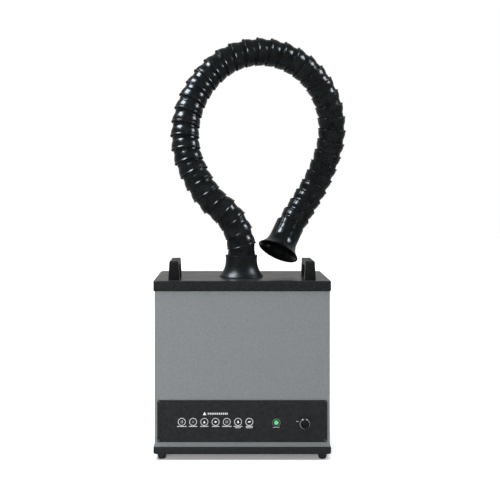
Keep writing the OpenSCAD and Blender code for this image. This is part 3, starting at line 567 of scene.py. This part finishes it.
# Handles: two solid moulded bows, screwed on from under the lid. They narrow from the lid upwards,
# and the top bar is bevelled along its outer edges. The grain is a little worn by the hand.
worn_grip = moulded_finish("worn_grip", (0.004, 0.0044, 0.0044), (0.0125, 0.0134, 0.0136),
                           (0.42, 0.6), per_metre=1300, bloom=0.12)
handle_front, bow_long, bow_tall = -95.0, 104.0, 46.0


def bow_line(low, top, corner, steps=9):
    """Half of a bow's outline from the side: up a leg at low, round a corner, and along the top to
    the middle. The other half is its mirror image."""
    up = np.stack([np.full(5, low), np.linspace(0, top - corner, 5)], -1)
    bend = arc(low + corner, top - corner, corner, 180, 90, steps)
    along = np.stack([np.linspace(low + corner, bow_long / 2, 5), np.full(5, top)], -1)
    half = np.concatenate([up[:-1], bend, along[1:]])
    return np.concatenate([half, (half * [-1, 1] + [bow_long, 0])[::-1][1:]])


outer_line, inner_line = bow_line(0.0, bow_tall, 6.0), bow_line(17.0, 33.0, 8.0)
# Half of the bow's section: the share of its half width, and the way from inner to outer line
half_section = np.array([(0.0, 0.0), (0.95, 0.0), (1.0, 0.04), (1.0, 0.5), (1.0, 0.846),
                         (1.0, 0.985), (0.96, 1.0), (0.0, 1.0)])
bow_section = np.concatenate([half_section, (half_section * [-1, 1])[-2:0:-1]])
line = inner_line[:, None] + (outer_line - inner_line)[:, None] * bow_section[None, :, 1:]
half_wide = np.interp(line[..., 1], [0.0, 44.0, bow_tall], [13.5, 11.2, 9.2])
for side, node in ((-1, "handle_left"), (1, "handle_right")):
    bow = np.stack([side * handle_x + half_wide * bow_section[None, :, 0],
                    handle_front + line[..., 0], lid_top + line[..., 1]], -1)
    skin("bow_" + node, [(bow, False)], "cabinet", worn_grip, [node], crease=30.0)

# Arm flange: a turned-looking moulding in satin black plastic, flared to a wide foot on the lid,
# with a raised rim round the collar in which the arm turns.
arm_y = -10
flange_foot = [(30.0, 0), (55.0, 0), (55.5, 0.5), (55.5, 1.9)]
flange_flare = arc(96.0, 40.68, 56.0, 223.6, 180, 20)
flange_rim = [(40.0, 49.3), (40.4, 49.6), *arc(40.2, 50.2, 0.4, 0, 10, 2),
              *arc(40.2, 53.6, 0.4, 0, 90, 5)]
flange_collar = [(38.6, 54.0), (38.2, 53.6), (38.2, 20.0), (30.0, 20.0)]
flange_profile = np.concatenate([flange_foot, flange_flare, flange_rim, flange_collar])


def gloss_finish(name, dark, light, patches, rough, waves, strength, depth):
    """Smooth moulded plastic: a clouded colour, patches, so many in a metre, that are more or less
    polished, and shallow waves in the surface, given as (lumps in a metre, finer octaves)."""
    material, shader, place = blank_finish(name)
    paint(shader, grain(place, 40, 8, 0.65), (0.3, dark), (0.7, light))
    polish(shader, grain(place, patches, 5, 0.65), *rough)
    dents(shader, grain(place, *waves), strength, depth)
    shader.inputs["Specular IOR Level"].default_value = 0.5
    return material


flange_satin = gloss_finish("flange_satin", (0.005, 0.0062, 0.0067), (0.009, 0.011, 0.0118),
                            patches=60, rough=(0.24, 0.36), waves=(85, 2), strength=0.12,
                            depth=0.0012)
flange_rows = lathe(flange_profile, 96) + [0, arm_y, lid_top]
skin("flange_turned", [(flange_rows, True)], "cabinet", flange_satin, ["arm_flange"])

# Arm: 39 glossy black segments that snap into each other. Each has a sharp lip, a barrel that
# narrows to a straight crown, and a hollow ball on it that the next one's socket grips. The root
# turns in the flange.
arm_gloss = gloss_finish("arm_gloss", (0.0022, 0.0027, 0.0029), (0.0106, 0.0121, 0.0127),
                         patches=130, rough=(0.09, 0.15), waves=(85, 2), strength=0.1,
                         depth=0.0012)
pitch, bore_r, ball_r, socket_r, crown_r = 32.5, 30.0, 34.0, 34.35, 33.5
barrel_r, neck_r = 36.45, 32.7  # a barrel's widest and narrowest radius
bulge_r, bulge_turn = 42.0, 24.0  # the curve between them: its radius, and how far it turns


def slope(height, radius):
    """The angle, in degrees, at which a circle of that radius has that height."""
    return np.degrees(np.arcsin(height / radius))


lip = np.concatenate([arc(37.4, -2.4, 0.6, -90, 0, 4), arc(37.4, -1.9, 0.6, 0, 65, 4),
                      arc(40.25, 2.6, 3.8, 212, 180, 6)])
barrel = np.concatenate([arc(barrel_r - bulge_r, 4.0, bulge_r, 0, bulge_turn, 14),
                         [(neck_r, 22.3), (neck_r, 30.0)]])
ball = np.concatenate([arc(0, 0, ball_r, slope(5.8, ball_r), slope(11.5, ball_r), 6),
                       [(31.2, 12.0), (bore_r, 12.0)]])
socket = np.concatenate([arc(0, 0, socket_r, slope(16.73, socket_r), slope(5.5, socket_r), 9),
                         [(35.2, 0.0), (36.1, -3.0)]])
segment = lathe(np.concatenate([lip, barrel, ball + [0, pitch], socket]), 72)

# Degrees that each segment, and at last the hood, turns from the one before: over the arch, and
# back or forth
arch = np.repeat([13, -10, -4.2, -9.4, -8.2, -7.7, -10.4, -9.6, -8.7, -4.5, -1.2],
                 [4, 2, 2, 2, 2, 5, 5, 5, 5, 4, 3])
lean = np.repeat([0, 2.1, 0, -5.6], [4, 4, 25, 6])
hood_arch, hood_lean = 8.0, 1.0
heading = np.radians(90 + np.cumsum(np.append(arch, hood_arch)))
leaning = np.radians(np.cumsum(np.append(lean, hood_lean)))
way = np.stack([np.cos(heading) * np.cos(leaning), np.sin(leaning),
                np.sin(heading) * np.cos(leaning)], -1)
first_joint = np.array([0, arm_y, 511])
joints = first_joint + np.concatenate([np.zeros((1, 3)), np.cumsum(pitch * way[:-1], 0)])


def at_joint(grid, k):
    """Sets a grid, whose axis is upright, on the arm's joint k along the arm's way there: it leans
    about X first, then turns about Y."""
    s, c = np.sin(leaning[k]), np.cos(leaning[k])
    up, over = np.sin(heading[k]), np.cos(heading[k])
    lean_x = np.array([[1, 0, 0], [0, c, s], [0, -s, c]])
    turn_y = np.array([[up, 0, over], [0, 1, 0], [-over, 0, up]])
    return grid @ (turn_y @ lean_x).T + joints[k]


root_tube = [(34.9, -58.7), (37.9, -58.7), (37.9, -26.6), (37.3, -26.0), (35.2, -26.0),
             (crown_r, -13.0)]
root_profile = np.concatenate([root_tube, ball, [(bore_r, -26.0), (34.9, -38.0)]])
skin("arm_root_ball", [(lathe(root_profile, 72) + joints[0], True)],
     "arm_root", arm_gloss, ["arm_root"])
for pair in range(1, 7):
    barrels = [(at_joint(segment, k), True) for k in (2 * pair - 2, 2 * pair - 1)]
    skin(f"barrels_{pair}", barrels, f"arm_pair_{pair}", arm_gloss,
         [f"arm_pair_{pair}"])
for k in range(13, 40):
    skin(f"barrel_{k}", [(at_joint(segment, k - 1), True)], f"arm_segment_{k}", arm_gloss,
         [f"arm_segment_{k}"])

# Hood: a straight collar that opens in a trumpet flare to a thin rim, moulded in glossy black
# plastic with a slightly wavy surface, and snapped on the arm's last ball.
hood_gloss = gloss_finish("hood_gloss", (0.003, 0.0041, 0.0044), (0.006, 0.0078, 0.0083),
                          patches=90, rough=(0.07, 0.13), waves=(34, 1), strength=0.45,
                          depth=0.004)
last_joint = 39
hood_r, flare_r, bell_t = 37.6, 52.0, 2.4  # collar's radius, flare's curve, thickness
mouth_r, mouth_at = 55.5, 80.0  # the mouth's radius, and its distance from the ball
flare_middle = hood_r + flare_r
collar_top = mouth_at - np.sqrt(flare_r ** 2 - (flare_middle - mouth_r) ** 2)
mouth_turn = np.degrees(np.arccos((flare_middle - mouth_r) / flare_r))
inner_turn = slope(mouth_at - collar_top, flare_r + bell_t)
hood_collar = np.stack([np.full(5, hood_r), np.linspace(2, collar_top - 2, 5)], -1)
hood_profile = np.concatenate([
    [(37.2, -3.0), (hood_r, -2.6)], hood_collar,
    arc(flare_middle, collar_top, flare_r, 180, 180 - mouth_turn + 0.8, 26),
    [(mouth_r - 0.4, mouth_at - 0.1), (mouth_r - 1.0, mouth_at), (mouth_r - 2.8, mouth_at)],
    arc(flare_middle, collar_top, flare_r + bell_t, 180 - inner_turn + 0.6, 180, 24),
    [(bore_r, 18.73)], socket])
skin("hood_bell", [(at_joint(lathe(hood_profile, 112), last_joint), True)], "hood", hood_gloss,
     ["hood"])

# Mains inlet: a black appliance inlet screwed to the rear wall, with a deep recess whose two upper
# corners are cut off, and three flat steel pins in it.
rear_wall, inlet_cut, inlet_turn = 117.0, 4.5, 7  # wall's place, corner cut, points in a corner


def on_rear(grid):
    """Lays a grid that was drawn flat, with its third axis outwards, on the rear wall."""
    return np.stack([inlet_x - grid[..., 0], rear_wall + grid[..., 2], grid[..., 1] + inlet_z], -1)


inlet_rows = round_rows([24, 31, 31, 51, 52, 52, 51.2, 49.6], [17, 24, 24, 29, 30, 30, 29.2, 27.6],
                        [1, 1, 1, 3.6, 4, 4, 3.7, 3], [-22, -22, -0.2, 0, 0.3, 2.2, 2.8, 3.0],
                        inlet_turn)
recess = round_rows([24.8, 24.4, 24.4, 20.0], [17.0, 16.6, 16.6, 13.0], 0.4,
                    [3.0, 2.6, -12.0, -12.0], inlet_turn)
slant = np.linspace(0, 1, inlet_turn)[None, :, None]
for first, side, start, end in ((0, 1, (0, -inlet_cut), (-inlet_cut, 0)),
                                (inlet_turn, -1, (inlet_cut, 0), (0, -inlet_cut))):
    tip = np.stack([side * recess[:, :, 0].max(1), recess[:, :, 1].max(1)], -1)[:, None]
    cut_line = np.array(start) * (1 - slant) + np.array(end) * slant
    recess[:, first:first + inlet_turn, :2] = tip + cut_line
skin("inlet_housing", [(on_rear(np.concatenate([inlet_rows, recess])), False)], "cabinet",
     switch_plastic, ["mains_inlet"])

bright_steel, shader, place = blank_finish("bright_steel")
stretched = pattern(place, "Mapping", {"Scale": (1.0, 1.0, 0.04)}).outputs["Vector"]
paint(shader, grain(stretched, 900, 4), (0.3, (0.45, 0.45, 0.46)), (0.7, (0.62, 0.62, 0.63)))
polish(shader, grain(place, 500), 0.2, 0.38)
shader.inputs["Metallic"].default_value = 1.0
pin = round_rows([1.8, 2.0, 2.0, 1.2], [3.8, 4.0, 4.0, 3.0], 0.4, [-15, -14.8, -5, -4], 4)
pins = [(on_rear(pin + [x, y, 0]), False) for x, y in ((-7, -2), (0, 2.5), (7, -2))]
skin("inlet_pins", pins, "cabinet", bright_steel)
dress(bright_steel, "potentiometer", "speed_spindle", "motor_shaft")

# Filters under the lid: a foam seal, a wool pre-filter, a pleated paper filter and a carbon filter,
# each in its card frame, lifted out from above.
seal_foam, shader, place = blank_finish("seal_foam")
cells = pattern(place, "TexVoronoi", {"Scale": 700.0}).outputs["Distance"]
paint(shader, cells, (0.1, (0.008, 0.008, 0.009)), (0.7, (0.05, 0.05, 0.052)))
polish(shader, grain(place, 90), 0.8, 0.95)
dents(shader, cells, 0.6, 0.0008)
dress(seal_foam, "lid_seal")


def filter_finish(name, dark, light, fibre, strength):
    """Filter stuff: a fibrous colour of many octaves, a dull surface and a coarse nap."""
    material, shader, place = blank_finish(name)
    paint(shader, grain(place, fibre, 8, 0.75), (0.3, dark), (0.7, light))
    polish(shader, grain(place, 70), 0.82, 0.97)
    dents(shader, grain(place, 4 * fibre, 4, 0.7), strength, 0.0008)
    return material


filter_wool = filter_finish("filter_wool", (0.5, 0.52, 0.54), (0.72, 0.73, 0.74), 160, 0.6)
filter_paper = filter_finish("filter_paper", (0.7, 0.69, 0.64), (0.84, 0.83, 0.79), 90, 0.25)
filter_carbon = filter_finish("filter_carbon", (0.008, 0.008, 0.008), (0.05, 0.05, 0.05), 220, 0.8)
dress(filter_wool, "pre_filter")
dress(filter_paper, "hepa_filter")
dress(filter_carbon, "carbon_filter")

# Blower under the filters: a galvanised plate and scroll, a die-cast motor and a moulded fan wheel.
# The zinc shows its flat crystals, and the casting a coarse skin.
zinc_sheet, shader, place = blank_finish("zinc_sheet")
flakes = pattern(place, "TexVoronoi", {"Scale": 95.0}).outputs["Color"]
paint(shader, flakes, (0.1, (0.42, 0.44, 0.46)), (0.9, (0.66, 0.68, 0.7)))
polish(shader, grain(place, 150, 3), 0.32, 0.52)
shader.inputs["Metallic"].default_value = 1.0
dents(shader, grain(place, 300, 3), 0.1, 0.0002)
dress(zinc_sheet, "fan_deck", "blower_housing")

cast_alloy, shader, place = blank_finish("cast_alloy")
paint(shader, grain(place, 240, 7, 0.7), (0.3, (0.33, 0.33, 0.34)), (0.7, (0.52, 0.52, 0.53)))
polish(shader, grain(place, 400), 0.45, 0.65)
shader.inputs["Metallic"].default_value = 0.9
dents(shader, grain(place, 800, 4), 0.4, 0.0003)
dress(cast_alloy, "fan_motor")

fan_moulding = moulded_finish("fan_moulding", (0.018, 0.02, 0.024), (0.035, 0.038, 0.044),
                              (0.35, 0.5), per_metre=1200, strength=0.15)
dress(fan_moulding, "impeller")

# Circuit board behind the panel: green laminate with the weave of its glass cloth under the
# lacquer, standing on four posts.
board_laminate, shader, place = blank_finish("board_laminate")
weave = pattern(place, "TexWave", {"Scale": 380.0, "Distortion": 1.5}).outputs["Fac"]
paint(shader, weave, (0.2, (0.01, 0.09, 0.035)), (0.8, (0.02, 0.14, 0.055)))
polish(shader, grain(place, 200), 0.28, 0.45)
dents(shader, weave, 0.1, 0.0001)
dress(board_laminate, "control_board")
